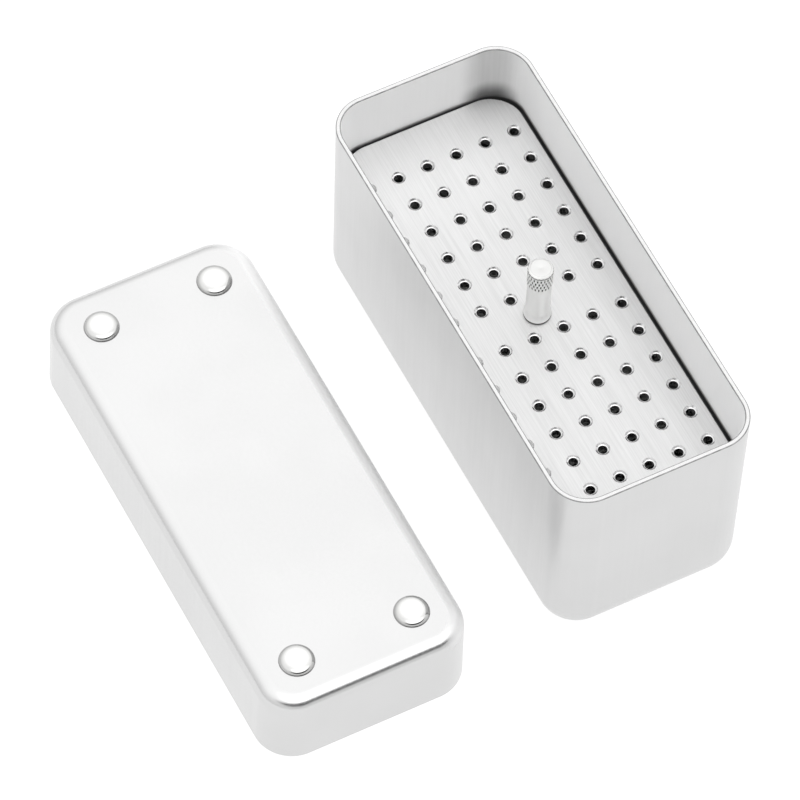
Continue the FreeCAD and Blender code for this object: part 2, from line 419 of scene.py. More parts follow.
def fit_four(made, name, kind, material, body, slot):
    """Fits a finished piece as the first of four like nodes, and copies of it as the other three."""
    for number in FOUR:
        node_name = f"{kind}_{number}"
        piece = made
        if number > 1:
            piece = copied(made, f"{name}_{number}", middle_of(node_name) - middle_of(f"{kind}_1"))
        fit(piece, material, body, slot, node_name)


def node(tree, kind, properties=None, inputs=None):
    """Adds a node, sets its properties, and fills its inputs with values or links them to outputs."""
    made = tree.nodes.new(kind)
    for name, value in (properties or {}).items():
        setattr(made, name, value)
    for socket, value in (inputs or {}).items():
        if isinstance(value, bpy.types.NodeSocket):
            tree.links.new(value, made.inputs[socket])
        else:
            made.inputs[socket].default_value = value
    return made


def per(millimetres):
    """Pattern scale that repeats about once in so many millimetres."""
    return 1 / (millimetres * MM)


def new_metal(name):
    """A bare metal, which keeps the shader's own IOR. Returns the material, tree, shader and place."""
    material = bpy.data.materials.new(name)
    material.use_nodes = True
    tree = material.node_tree
    shader = tree.nodes["Principled BSDF"]
    shader.inputs["Metallic"].default_value = 1.0
    place = node(tree, "ShaderNodeTexCoord").outputs["Object"]
    return material, tree, shader, place


def speckle(tree, place, scale, detail=2.0, stretch=(1, 1, 1)):
    """Soft noise from 0 to 1 at a scale, drawn out along an axis where stretch is small."""
    drawn_out = node(tree, "ShaderNodeMapping", inputs={"Vector": place, "Scale": stretch})
    noise = node(tree, "ShaderNodeTexNoise", inputs={
        "Vector": drawn_out.outputs["Vector"], "Scale": scale, "Detail": detail,
    })
    return noise.outputs["Fac"]


def between(tree, amount, low, high, first=0.3, last=0.7):
    """Turns a pattern to a value that runs from low to high as the pattern runs from first to last."""
    mapped = node(tree, "ShaderNodeMapRange", {"interpolation_type": "SMOOTHSTEP"}, {
        "Value": amount, "From Min": first, "From Max": last, "To Min": low, "To Max": high,
    })
    return mapped.outputs["Result"]


def shaded(tree, amount, base, shade):
    """The base colour, darkened to shade times itself where a pattern is 1."""
    dark = [channel * shade for channel in base]
    mix = node(tree, "ShaderNodeMix", {"data_type": "RGBA"}, {0: amount, 6: [*base, 1], 7: [*dark, 1]})
    return mix.outputs[2]


def relief(tree, height, depth, strength, under=None):
    """Bump from a pattern, depth millimetres deep, laid over another bump if one is given."""
    inputs = {"Height": height, "Distance": depth * MM, "Strength": strength}
    if under is not None:
        inputs["Normal"] = under
    return node(tree, "ShaderNodeBump", inputs=inputs).outputs["Normal"]


def link(tree, output, shader, socket):
    tree.links.new(output, shader.inputs[socket])


def drawn_sheet(name, base):
    """What the outsides of the lid and box share: deep-drawn aluminium sheet, anodised, slightly cloudy, with
    faint upright drawing lines and a fine matt grain."""
    material, tree, shader, place = new_metal(name)
    clouds = shaded(tree, between(tree, speckle(tree, place, per(22)), 0, 1), base, 0.97)
    lines = speckle(tree, place, per(0.7), 3, (1, 1, 0.03))
    grain = speckle(tree, place, per(0.28), 3)
    link(tree, relief(tree, grain, 0.006, 0.12), shader, "Normal")
    return material, tree, shader, clouds, lines


def satin_drawn_aluminium(base):
    """Satin anodised sheet of the lid. It gives a soft even sheen. Its edge beside the box is brighter, which
    is fitted to the photo's tones and may be light there and not wear. Its rounded edge beside the box is
    lighter, which is a painted highlight."""
    material, tree, shader, clouds, lines = drawn_sheet("satin_drawn_aluminium", base)
    worn = node(tree, "ShaderNodeAttribute", {"attribute_name": "worn"}).outputs["Fac"]
    bright = [*settings().finishes.worn_edge, 1]
    # Painted highlight: the lid's edge beside the box is mixed towards a lighter colour
    highlighted = node(tree, "ShaderNodeMix", {"data_type": "RGBA"}, {0: worn, 6: clouds, 7: bright})
    link(tree, highlighted.outputs[2], shader, "Base Color")
    matt = math_node(tree, "MULTIPLY", worn, 0.4)
    link(tree, math_node(tree, "ADD", matt, between(tree, lines, 0.23, 0.27)), shader, "Roughness")
    return material


def matt_drawn_aluminium(base):
    """Matt anodised sheet of the box. It gives a wider, duller sheen than the lid, fitted to the photo. It
    gives a wider, duller sheen than the lid, and its colour is a little darker than the lid's as painted
    shade.
    """
    material, tree, shader, clouds, lines = drawn_sheet("matt_drawn_aluminium", base)
    link(tree, clouds, shader, "Base Color")
    link(tree, between(tree, lines, 0.31, 0.35), shader, "Roughness")
    return material


def drawn_aluminium_inside(base):
    """The same sheet inside the box, with faint upright drawing lines. It is lighter than the outside, as
    painted light. It has a painted shadow in a line at the rack's top plate and painted shade below that, and
    painted shade in one far corner. These are fitted to the photo's tones, and may be shade there and not
    stain."""
    material, tree, shader, place = new_metal("drawn_aluminium_inside")
    height = node(tree, "ShaderNodeSeparateXYZ", inputs={0: place}).outputs["Z"]
    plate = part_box("rack_top_plate")[1].z
    # Painted shadow in a line at the top plate, fading to lighter painted shade below it
    above = between(tree, height, 1, 0, plate - 0.8 * MM, plate + 0.8 * MM)
    below = between(tree, height, 0.3, 1, plate - 2.6 * MM, plate - 1.4 * MM)
    gap_shadow = math_node(tree, "MULTIPLY", above, below)
    # Painted shade in the far corner beside the rack, fading upwards
    low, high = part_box("box_body")
    radius = settings().shells.box_corner_radius
    patch = Vector((low.x + radius, high.y - radius, 0)) - 0.9 * radius * towards(math.radians(70), 0)
    beside = node(tree, "ShaderNodeVectorMath", {"operation": "MULTIPLY"}, {0: place, 1: (1, 1, 0)})
    ends = {0: beside.outputs["Vector"], 1: patch}
    reach = node(tree, "ShaderNodeVectorMath", {"operation": "DISTANCE"}, ends)
    corner = between(tree, reach.outputs["Value"], 1, 0, 1.5 * MM, 7.5 * MM)
    fading = between(tree, height, 0.8, 0.24, plate + 0.5 * MM, plate + 5.5 * MM)
    dark = math_node(tree, "MAXIMUM", gap_shadow, math_node(tree, "MULTIPLY", corner, fading))
    link(tree, shaded(tree, dark, base, 0.12), shader, "Base Color")
    lines = speckle(tree, place, per(0.6), 3, (1, 1, 0.03))
    link(tree, between(tree, lines, 0.78, 0.84), shader, "Roughness")
    link(tree, relief(tree, lines, 0.002, 0.1), shader, "Normal")
    return material


def trimmed_aluminium(base):
    """The sheet's edge, trimmed and polished. It gives a white band round the opening."""
    material, tree, shader, place = new_metal("trimmed_aluminium")
    nicks = speckle(tree, place, per(1.2), 3)
    link(tree, shaded(tree, between(tree, nicks, 0, 1), base, 0.97), shader, "Base Color")
    link(tree, between(tree, nicks, 0.12, 0.2), shader, "Roughness")
    return material


def burnished_aluminium_edge(base):
    """The rim's rounded edges, darkened as painted shade. They give two thin grey lines round the opening."""
    material, tree, shader, place = new_metal("burnished_aluminium_edge")
    nicks = speckle(tree, place, per(1.6), 3)
    link(tree, shaded(tree, between(tree, nicks, 0, 1), base, 0.7), shader, "Base Color")
    link(tree, between(tree, nicks, 0.35, 0.45), shader, "Roughness")
    return material


def brushed_aluminium_plate(base):
    """Aluminium plate, brushed along its length after drilling. It gives fine lengthwise lines, a few longer
    scratches, and a sheen that is duller across the lines. Its low-X end is lighter, as painted light. The
    low-X end is lighter, fitted to the photo."""
    material, tree, shader, place = new_metal("brushed_aluminium_plate")
    lines = speckle(tree, place, per(0.25), 4, (0.018, 1, 1))
    bands = speckle(tree, place, per(2.4), 2, (0.03, 1, 1))
    scratches = between(tree, speckle(tree, place, per(0.9), 1, (0.045, 1, 1)), 0, 1, 0.66, 0.72)
    along = node(tree, "ShaderNodeSeparateXYZ", inputs={0: place}).outputs["X"]
    marks_and_shade = math_node(tree, "ADD", between(tree, bands, 0, 0.11), between(tree, lines, 0, 0.25))
    # Painted light: the plate darkens from its low-X end towards +X
    marks_and_shade = math_node(tree, "ADD", marks_and_shade, between(tree, along, 0, 0.55, -50 * MM, -15 * MM))
    link(tree, shaded(tree, marks_and_shade, base, 0.78), shader, "Base Color")
    link(tree, between(tree, lines, 0.46, 0.56), shader, "Roughness")
    brushed = relief(tree, lines, 0.010, 0.35)
    link(tree, relief(tree, scratches, 0.012, 0.5, brushed), shader, "Normal")
    return material


def cut_aluminium(base):
    """Aluminium as a sharp drill and countersink leave it. It gives clear reflections inside the holes."""
    material, tree, shader, place = new_metal("cut_aluminium")
    rings = speckle(tree, place, per(0.2), 2, (1, 1, 4))
    link(tree, shaded(tree, between(tree, rings, 0, 1), base, 0.96), shader, "Base Color")
    link(tree, between(tree, rings, 0.2, 0.28), shader, "Roughness")
    return material


def turned_aluminium_bar(base):
    """Aluminium bar turned on a lathe. It gives fine rings round the piece."""
    material, tree, shader, place = new_metal("turned_aluminium_bar")
    rings = speckle(tree, place, per(0.3), 3, (0.02, 0.02, 1))
    link(tree, shaded(tree, between(tree, rings, 0, 1), base, 0.95), shader, "Base Color")
    link(tree, between(tree, rings, 0.24, 0.34), shader, "Roughness")
    link(tree, relief(tree, rings, 0.008, 0.25), shader, "Normal")
    return material


def turned_stainless_steel(base):
    """Stainless bar, turned and knurled. It gives fine rings on the shaft, and painted shade in the grooves
    between the diamonds, in the crevice at its foot and round its head."""
    material, tree, shader, place = new_metal("turned_stainless_steel")
    groove = node(tree, "ShaderNodeAttribute", {"attribute_name": "groove"}).outputs["Fac"]
    rings = speckle(tree, place, per(0.3), 3, (0.02, 0.02, 1))
    # Painted shade from the post's darkness marks
    link(tree, shaded(tree, between(tree, groove, 0, 1, 0.15, 0.5), base, 0.03), shader, "Base Color")
    link(tree, between(tree, rings, 0.5, 0.58), shader, "Roughness")
    link(tree, relief(tree, rings, 0.006, 0.25), shader, "Normal")
    return material


def nickel_plated_steel(base):
    """Nickel-plated steel hardware. It gives a bright, slightly cloudy surface."""
    material, tree, shader, place = new_metal("nickel_plated_steel")
    clouds = speckle(tree, place, per(1.5))
    link(tree, shaded(tree, between(tree, clouds, 0, 1), base, 0.9), shader, "Base Color")
    link(tree, between(tree, clouds, 0.18, 0.3), shader, "Roughness")
    return material


def polished_stainless_steel(base):
    """Polished stainless rivet heads. They give sharp reflections, broken a little where they were wiped.
    They are duller round their shoulder and dark in the crevice at the lid, fitted to the photo's tones.
    They have painted shade round their shoulder and a painted shadow in the crevice at the lid."""
    material, tree, shader, place = new_metal("polished_stainless_steel")
    wiping = speckle(tree, place, per(1.8), 4)
    crevice = node(tree, "ShaderNodeAttribute", {"attribute_name": "crevice"}).outputs["Fac"]
    ring = node(tree, "ShaderNodeAttribute", {"attribute_name": "ring"}).outputs["Fac"]
    # Painted shadow in the crevice at the lid and painted shade round the shoulder
    stud_shade = math_node(tree, "MAXIMUM", crevice, math_node(tree, "MULTIPLY", ring, 0.28))
    link(tree, shaded(tree, stud_shade, base, 0.08), shader, "Base Color")
    link(tree, between(tree, wiping, 0.07, 0.16), shader, "Roughness")
    link(tree, relief(tree, wiping, 0.004, 0.2), shader, "Normal")
    return material


def lit_white_acrylic(base):
    """White acrylic table lit from below. It gives an even white ground with hardly a shadow."""
    material = bpy.data.materials.new("lit_white_acrylic")
    material.use_nodes = True
    tree = material.node_tree
    shader = tree.nodes["Principled BSDF"]
    place = node(tree, "ShaderNodeTexCoord").outputs["Object"]
    link(tree, shaded(tree, speckle(tree, place, per(40)), base, 0.99), shader, "Base Color")
    shader.inputs["Roughness"].default_value = 0.7
    shader.inputs["Emission Color"].default_value = (1, 1, 1, 1)
    shader.inputs["Emission Strength"].default_value = 0.92
    return material


def finish(maker, field):
    """The material that a maker function gives in one of the finishes' colours, made only once."""
    made = bpy.data.materials.get(maker.__name__)
    return made or maker(list(getattr(settings().finishes, field)))


def middle_of(node_name):
    low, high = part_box(node_name)
    return (low + high) / 2


def row_places():
    """X of every row of file holes."""
    rack = settings().rack
    first = (rack.row_pitch + rack.middle_gap_extra) / 2
    half = [first + rack.row_pitch * row for row in range(rack.rows_per_group)]
    return [-x for x in reversed(half)] + half


def column_places():
    """Y of every column of file holes."""
    rack = settings().rack
    return [(column - (rack.columns - 1) / 2) * rack.column_pitch for column in range(rack.columns)]


def hole_places():
    return [(x, y) for x in row_places() for y in column_places()]


def drill(name, x, y, diameter, low, high, steps=32):
    radius = diameter / 2
    return turned(name, (x, y), [(0, low), (radius, low), (radius, high), (0, high)], steps)


def flat_plate(name, node_name, corner_radius, edge_round):
    """Plate with round corners and broken edges, as large as its node."""
    low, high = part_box(node_name)
    plate = rounded_block(name, low, high, corner_radius)
    edit(plate)
    pick("EDGE", lambda edge: lies_at(low.z)(edge) or lies_at(high.z)(edge))
    round_edges(edge_round, 2)
    bpy.ops.object.mode_set(mode="OBJECT")
    return plate


class ModelDrawnBox(bpy.types.Operator):
    """Models the drawn box, open at the top"""

    bl_idname = "endodontic_box.drawn_box"
    bl_label = "Drawn box"

    def execute(self, context):
        sizes = settings().shells
        low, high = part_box("box_body")
        radii = (sizes.box_corner_radius, sizes.box_bottom_radius)
        box = drawn_shell(
            "drawn_box", low, high, radii, high.z, low.z, sizes.box_draft, sizes.box_wall, sizes.rim_round,
        )
        smooth(box)
        fit(box, finish(matt_drawn_aluminium, "matt_sheet"), "box", "drawn_aluminium", "box_body")
        add_finish(box, finish(drawn_aluminium_inside, "drawn_inside"), looks_in(box))
        # The rim's rounded edges take a darker colour as painted shade
        add_finish(box, finish(burnished_aluminium_edge, "rim_edge"), at_rim(high.z, sizes.rim_round))
        add_finish(box, finish(trimmed_aluminium, "trimmed_rim"), on_flat_rim(high.z, sizes.rim_round))
        return {"FINISHED"}


class ModelDrawnLid(bpy.types.Operator):
    """Models the drawn lid, which lies beside the box with its open side down"""

    bl_idname = "endodontic_box.drawn_lid"
    bl_label = "Drawn lid"

    def execute(self, context):
        sizes = settings().shells
        low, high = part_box("lid_shell")
        radii = (sizes.lid_corner_radius, sizes.lid_top_radius)
        lid = drawn_shell(
            "drawn_lid", low, high, radii, low.z, high.z, sizes.lid_draft, sizes.lid_wall, sizes.rim_round,
        )
        holes = []
        for number in FOUR:
            centre = middle_of(f"lid_stud_{number}")
            below = high.z - sizes.lid_wall - OVERCUT
            above = high.z + OVERCUT
            holes.append(drill("stud_hole", centre.x, centre.y, sizes.stud_hole_diameter, below, above))
        cut_with(lid, holes)
        smooth(lid)
        fit(lid, finish(satin_drawn_aluminium, "satin_sheet"), "lid", "drawn_aluminium", "lid_shell")
        add_finish(lid, finish(trimmed_aluminium, "trimmed_rim"), on_flat_rim(low.z, sizes.rim_round))

        def worn(vertex):
            """Painted highlight along the rounding of the long edge at +Y alone, most in the middle of the
            rounding.
            """
            down = min(1, (high.z - vertex.co.z) / sizes.lid_top_radius)
            outwards = Vector((*vertex.normal.xy, 0.001)).normalized()
            rounding = (1 - down) * math.sqrt(down * (2 - down))
            return eased(outwards.y, 0.2, 0.9) * min(1, 2.6 * rounding)

        # Stores where the painted highlight lies on the lid
        mark(lid, "worn", worn)
        return {"FINISHED"}


def head_shoulder(foot_radius, lid_top, top):
    """Centre of the arc round a stud's head, which meets the lid at foot_radius and the crown smoothly. Each
    round moves the arc nearer to foot_radius, and 20 rounds are far more than it needs."""
    sizes = settings().studs
    between_centres = sizes.crown_radius - sizes.shoulder_radius
    crown_z = top - sizes.crown_radius
    radius = foot_radius
    for _ in range(20):
        centre_r = radius - sizes.shoulder_radius
        centre_z = crown_z + math.sqrt(between_centres ** 2 - centre_r ** 2)
        drop = lid_top - centre_z
        radius += foot_radius - centre_r - math.sqrt(sizes.shoulder_radius ** 2 - drop ** 2)
    return centre_r, centre_z


class ModelStuds(bpy.types.Operator):
    """Models the four studs, riveted through the lid"""

    bl_idname = "endodontic_box.studs"
    bl_label = "Studs"

    def execute(self, context):
        sizes = settings().studs
        low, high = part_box("lid_stud_1")
        lid_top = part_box("lid_shell")[1].z
        lid_inside = lid_top - settings().shells.lid_wall
        centre = middle_of("lid_stud_1")
        head = (high.x - low.x) / 2
        shank = sizes.shank_diameter / 2
        tail = sizes.tail_diameter / 2
        crown_z = high.z - sizes.crown_radius
        between_centres = sizes.crown_radius - sizes.shoulder_radius
        shoulder_r, shoulder_z = head_shoulder(head, lid_top, high.z)
        foot = math.degrees(math.asin((lid_top - shoulder_z) / sizes.shoulder_radius))
        meeting = math.degrees(math.acos(shoulder_r / between_centres))
        tail_arc = arc((tail - sizes.tail_height, lid_inside), sizes.tail_height, -90, 0, 6)
        profile = [(0, low.z), *tail_arc, (shank, lid_inside), (shank, lid_top)]
        profile += arc((shoulder_r, shoulder_z), sizes.shoulder_radius, foot, meeting, 12)
        profile += arc((0, crown_z), sizes.crown_radius, meeting, 90, 8)[1:]
        stud = turned("domed_stud_1", (centre.x, centre.y), profile, 56)
        # Painted shadow in the crevice at the lid and painted shade on a ring round the shoulder
        crevice = 0.45 * MM
        mark(stud, "crevice", lambda vertex: max(0, 0.9 * (1 - abs(vertex.co.z - lid_top) / crevice)))
        mark(stud, "ring", lambda vertex: eased((vertex.co.xy - centre.xy).length / head, 0.56, 0.76))
        smooth(stud)
        metal = finish(polished_stainless_steel, "polished_steel")
        fit_four(stud, "domed_stud", "lid_stud", metal, "lid", "polished_steel")
        return {"FINISHED"}


class ModelTopPlate(bpy.types.Operator):
    """Models the top plate, with its countersunk file holes"""

    bl_idname = "endodontic_box.top_plate"
    bl_label = "Top plate"

    def execute(self, context):
        rack = settings().rack
        plate = flat_plate(
            "perforated_plate", "rack_top_plate", rack.plate_corner_radius, rack.plate_edge_round,
        )
        low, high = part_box("rack_top_plate")
        below = low.z - OVERCUT
        above = high.z + OVERCUT
        places = hole_places()
        bore = rack.hole_diameter / 2
        mouth = rack.countersink_diameter / 2
        # The countersink's wall is steeper over its outer ring, so that its mouth shows as a clear edge
        lip = 0.05 * MM
        rim = 0.3 * MM
        first = turned("file_drill", places[0], [
            (0, below),
            (bore, below),
            (bore, high.z - rim - 0.5 * (mouth - rim - bore)),
            (mouth - rim, high.z - rim),
            (mouth, high.z),
            (mouth + lip, high.z + lip),
            (mouth + lip, above),
            (0, above),
        ], 32)
        tools = [first]
        for number, (x, y) in enumerate(places[1:], 1):
            # A made-up spread in depth, so that the holes don't all gleam alike
            depth_error = 0.03 * MM * math.sin(2.4 * number)
            shift = (x - places[0][0], y - places[0][1], depth_error)
            tools.append(copied(first, "file_drill_copy", shift))
        for number in FOUR:
            centre = middle_of(f"rack_pillar_{number}")
            top = low.z + rack.spigot_length
            tools.append(drill("spigot_drill", centre.x, centre.y, rack.spigot_diameter, below, top))
        tools.append(drill("post_drill", 0, 0, rack.post_hole_diameter, below, above))
        cut_with(plate, tools)
        smooth(plate, 15)
        metal = finish(brushed_aluminium_plate, "brushed_aluminium")
        fit(plate, metal, "rack", "brushed_aluminium", "rack_top_plate")
        border = (high - low) / 2 - Vector((MM, MM, 0))
        add_finish(plate, finish(cut_aluminium, "cut_aluminium"), lambda face: (
            abs(face.normal.z) < 0.98 and abs(face.center.x) < border.x and abs(face.center.y) < border.y
        ))
        return {"FINISHED"}


class ModelGuidePlate(bpy.types.Operator):
    """Models the thin guide plate, with its square punched holes"""

    bl_idname = "endodontic_box.guide_plate"
    bl_label = "Guide plate"

    def execute(self, context):
        rack = settings().rack
        plate = flat_plate(
            "punched_guide_plate", "rack_guide_plate", rack.guide_plate_corner_radius, rack.plate_edge_round,
        )
        low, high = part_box("rack_guide_plate")
        below = low.z - OVERCUT
        above = high.z + OVERCUT
        places = hole_places()
        reach = Vector((rack.guide_hole_side / 2, rack.guide_hole_side / 2, 0))
        lowest = Vector((*places[0], below)) - reach
        highest = Vector((*places[0], above)) + reach
        first = rounded_block("square_punch", lowest, highest, rack.guide_hole_corner, segments=4)
        tools = [first]
        for x, y in places[1:]:
            tools.append(copied(first, "square_punch_copy", (x - places[0][0], y - places[0][1], 0)))
        for number in FOUR:
            centre = middle_of(f"rack_foot_{number}")
            tools.append(drill("screw_drill", centre.x, centre.y, rack.screw_hole_diameter, below, above))
        cut_with(plate, tools)
        smooth(plate)
        metal = finish(brushed_aluminium_plate, "brushed_aluminium")
        fit(plate, metal, "rack", "brushed_aluminium", "rack_guide_plate")
        return {"FINISHED"}


class ModelPillarsAndFeet(bpy.types.Operator):
    """Models the four turned pillars and the four feet screwed into them"""

    bl_idname = "endodontic_box.pillars_and_feet"
    bl_label = "Pillars and feet"

    def execute(self, context):
        rack = settings().rack
        metal = finish(turned_aluminium_bar, "turned_aluminium")
        low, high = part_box("rack_pillar_1")
        centre = middle_of("rack_pillar_1")
        radius = (high.x - low.x) / 2
        spigot = rack.spigot_diameter / 2
        shoulder = high.z - rack.spigot_length
        bend = rack.pillar_end_break
        thread = rack.foot_thread_diameter / 2
        foot_low, foot_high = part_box("rack_foot_1")
        guide_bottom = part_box("rack_guide_plate")[0].z
        pillar = turned("turned_pillar_1", (centre.x, centre.y), [
            (0, foot_high.z + bend),
            (thread, foot_high.z + bend),
            (thread, low.z),
            *arc((radius - bend, low.z + bend), bend, -90, 0, 4),
            (radius, shoulder),
            (spigot, shoulder),
            (spigot, high.z),
            (0, high.z),
        ])
        smooth(pillar)
        taper = rack.foot_tip_taper
        foot = turned("turned_foot_1", (centre.x, centre.y), [
            (0, foot_low.z),
            (radius - taper, foot_low.z),
            *arc((radius - taper, foot_low.z + taper), taper, -75, 0, 6),
            (radius, guide_bottom - bend),
            (radius - bend, guide_bottom),
            (thread, guide_bottom),
            (thread, foot_high.z - bend),
            (thread - bend, foot_high.z),
            (0, foot_high.z),
        ])
        smooth(foot)
        fit_four(pillar, "turned_pillar", "rack_pillar", metal, "rack", "turned_aluminium")
        fit_four(foot, "turned_foot", "rack_foot", metal, "rack", "turned_aluminium")
        return {"FINISHED"}


def knurl_level(column, row):
    """Height of the diamond pattern, 1 on a diamond's tip and 0 in the grooves. Columns and rows are
    counted in quarter diamonds."""
    one_way = (column + row) / 4
    other_way = (column - row) / 4
    return 1 - 2 * max(abs(one_way - round(one_way)), abs(other_way - round(other_way)))


class ModelPost(bpy.types.Operator):
    """Models the lifting post, with its collar, shaft, knurled head and thread"""

    bl_idname = "endodontic_box.lifting_post"
    bl_label = "Lifting post"

    def execute(self, context):
        sizes = settings().post
        low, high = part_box("lifting_post")
        plate_low, plate_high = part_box("rack_top_plate")
        thread = sizes.thread_diameter / 2
        root = thread - 0.5 * sizes.thread_pitch
        shaft = sizes.shaft_diameter / 2
        collar = (high.x - low.x) / 2
        collar_top = plate_high.z + sizes.collar_height
        knurl_top = high.z - sizes.top_chamfer
        knurl_low = knurl_top - sizes.knurl_length
        rows = 2 * sizes.diamonds_high
        row_height = sizes.knurl_length / rows
        columns = 4 * sizes.diamonds_round
        foot_ring = 0.55 * MM
        dimple = 0.35 * MM
        dimple_depth = 0.06 * MM
        end_round = 0.1 * MM
        profile = [(0, low.z), (root, low.z)]
        turns = int((plate_low.z - low.z) / sizes.thread_pitch)
        for turn in range(turns):
            height = low.z + sizes.thread_pitch * (turn + 0.5)
            profile += [(thread, height), (root, height + sizes.thread_pitch / 2)]
        profile += [(thread, plate_low.z), (thread, plate_high.z)]
        profile += [(collar, plate_high.z), (collar, plate_high.z + foot_ring)]
        taper_steps = 6
        for step in range(taper_steps + 1):
            share = step / taper_steps
            ease = (1 + math.cos(math.pi * share)) / 2
            profile += [(shaft + (collar - shaft) * ease, collar_top + sizes.collar_taper * share)]
        profile += [(shaft, knurl_low + row_height * row) for row in range(rows + 1)]
        profile += [(shaft - 0.02 * MM, knurl_top + sizes.knurl_depth)]
        end_radius = shaft + sizes.knurl_depth - sizes.top_chamfer
        profile += arc((end_radius - end_round, high.z - end_round), end_round, 45, 90, 3)
        bottom = high.z - dimple_depth
        profile += [(dimple, high.z), (dimple / 2, bottom), (0, bottom)]
        post = turned("knurled_post", (0, 0), profile, columns)

        def column_of(vertex):
            return round(math.atan2(vertex.co.y, vertex.co.x) / math.tau * columns)

        def level_of(vertex):
            """Level in the diamond pattern, or none outside the knurled band."""
            row = round((vertex.co.z - knurl_low) / row_height)
            on_row = abs(vertex.co.z - knurl_low - row * row_height) < RING_TOLERANCE
            return knurl_level(column_of(vertex), row) if on_row and 1 <= row <= rows else None

        levels = [level_of(vertex) for vertex in post.data.vertices]
        edit(post)
        tips, slopes = (1.0, 0.85), (0.5, 0.5)
        for level, lift in (tips, slopes):
            pick("VERT", lambda vertex: levels[vertex.index] == level)
            wider = (shaft + lift * sizes.knurl_depth) / shaft
            bpy.ops.transform.resize(value=(wider, wider, 1), center_override=(0, 0, knurl_low))
        pick("FACE", lambda face: all(levels[vertex.index] is not None for vertex in face.verts))
        bpy.ops.mesh.quads_convert_to_tris(quad_method="SHORTEST_DIAGONAL")
        bpy.ops.object.mode_set(mode="OBJECT")

        def darkness(vertex):
            """Painted shade: dark in the crevice round the foot, at the top of the knurled band and where two
            grooves cross. Slight on the faced end and along the grooves."""
            if vertex.co.xy.length > shaft and abs(vertex.co.z - plate_high.z) < RING_TOLERANCE:
                return 1
            if abs(vertex.co.z - knurl_top) < RING_TOLERANCE:
                return 0.5
            if vertex.co.z > high.z - end_round - RING_TOLERANCE:
                return 0.27
            if levels[vertex.index] != 0:
                return 0
            return 1 if column_of(vertex) % 2 == 0 else 0.1

        # Stores the painted shade on the post for its material
        mark(post, "groove", darkness)
        smooth(post, 22)
        fit(post, finish(turned_stainless_steel, "turned_steel"), "rack", "turned_steel", "lifting_post")
        return {"FINISHED"}


class ModelNutAndWasher(bpy.types.Operator):
    """Models the nut and washer that hold the post under the top plate"""

    bl_idname = "endodontic_box.nut_and_washer"
    bl_label = "Nut and washer"

    def execute(self, context):
        metal = finish(nickel_plated_steel, "plated_steel")
        bore = settings().post.thread_diameter / 2
        low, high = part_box("post_washer")
        radius = (high.x - low.x) / 2
        edge = 0.1 * MM
        hole = bore + edge
        washer = turned("plain_washer", (0, 0), [
            (hole, low.z),
            (radius - edge, low.z),
            (radius, low.z + edge),
            (radius, high.z - edge),
            (radius - edge, high.z),
            (hole, high.z),
            (hole, low.z),
        ])
        smooth(washer)
        fit(washer, metal, "rack", "plated_steel", "post_washer")
        low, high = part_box("post_nut")
        corner = (high.x - low.x) / 2
        half_side = math.radians(30)
        flat = corner * math.cos(half_side)
        chamfer = (corner - flat) * math.tan(half_side)
        height = high.z - low.z
        centre = middle_of("post_nut")
        clear_selection()
        bpy.ops.mesh.primitive_cylinder_add(vertices=6, radius=corner, depth=height, location=centre)
        nut = bpy.context.object
        nut.name = "hexagon_nut"
        settle(nut)
        bpy.ops.transform.rotate(value=half_side, orient_axis="Z", center_override=(0, 0, 0))
        settle(nut)
        blank = turned("nut_blank", (0, 0), [
            (0, low.z - edge),
            (flat - edge, low.z - edge),
            (flat, low.z),
            (corner, low.z + chamfer),
            (corner, high.z - chamfer),
            (flat, high.z),
            (flat - edge, high.z + edge),
            (0, high.z + edge),
        ], 60)
        modify(nut, "BOOLEAN", operation="INTERSECT", solver="EXACT", object=blank)
        bpy.data.objects.remove(blank)
        cut_with(nut, [drill("tap", 0, 0, 2 * bore, low.z - OVERCUT, high.z + OVERCUT)])
        smooth(nut, 25)
        fit(nut, metal, "rack", "plated_steel", "post_nut")
        return {"FINISHED"}


CAMERA_AIM = Vector((-12.834, -22.655, 0)) * MM
CAMERA_DISTANCE = 1531.0 * MM
CAMERA_AZIMUTH = math.radians(60.137)
CAMERA_ELEVATION = math.radians(57.146)
CAMERA_ROLL = math.radians(3.148)
CAMERA_LENS = 343.34
FLOOR_SIZE = 6.0
# The table's top lies a hair under the box and lid, so that no two faces share one plane
FLOOR_DROP = 0.05 * MM


def towards(azimuth, elevation):
    """Direction with azimuth 0 at -Y and 90 degrees at +X."""
    flat = math.cos(elevation)
    return Vector((math.sin(azimuth) * flat, -math.cos(azimuth) * flat, math.sin(elevation)))


def math_node(tree, operation, *values):
    inputs = dict(enumerate(values))
    return node(tree, "ShaderNodeMath", {"operation": operation}, inputs).outputs[0]


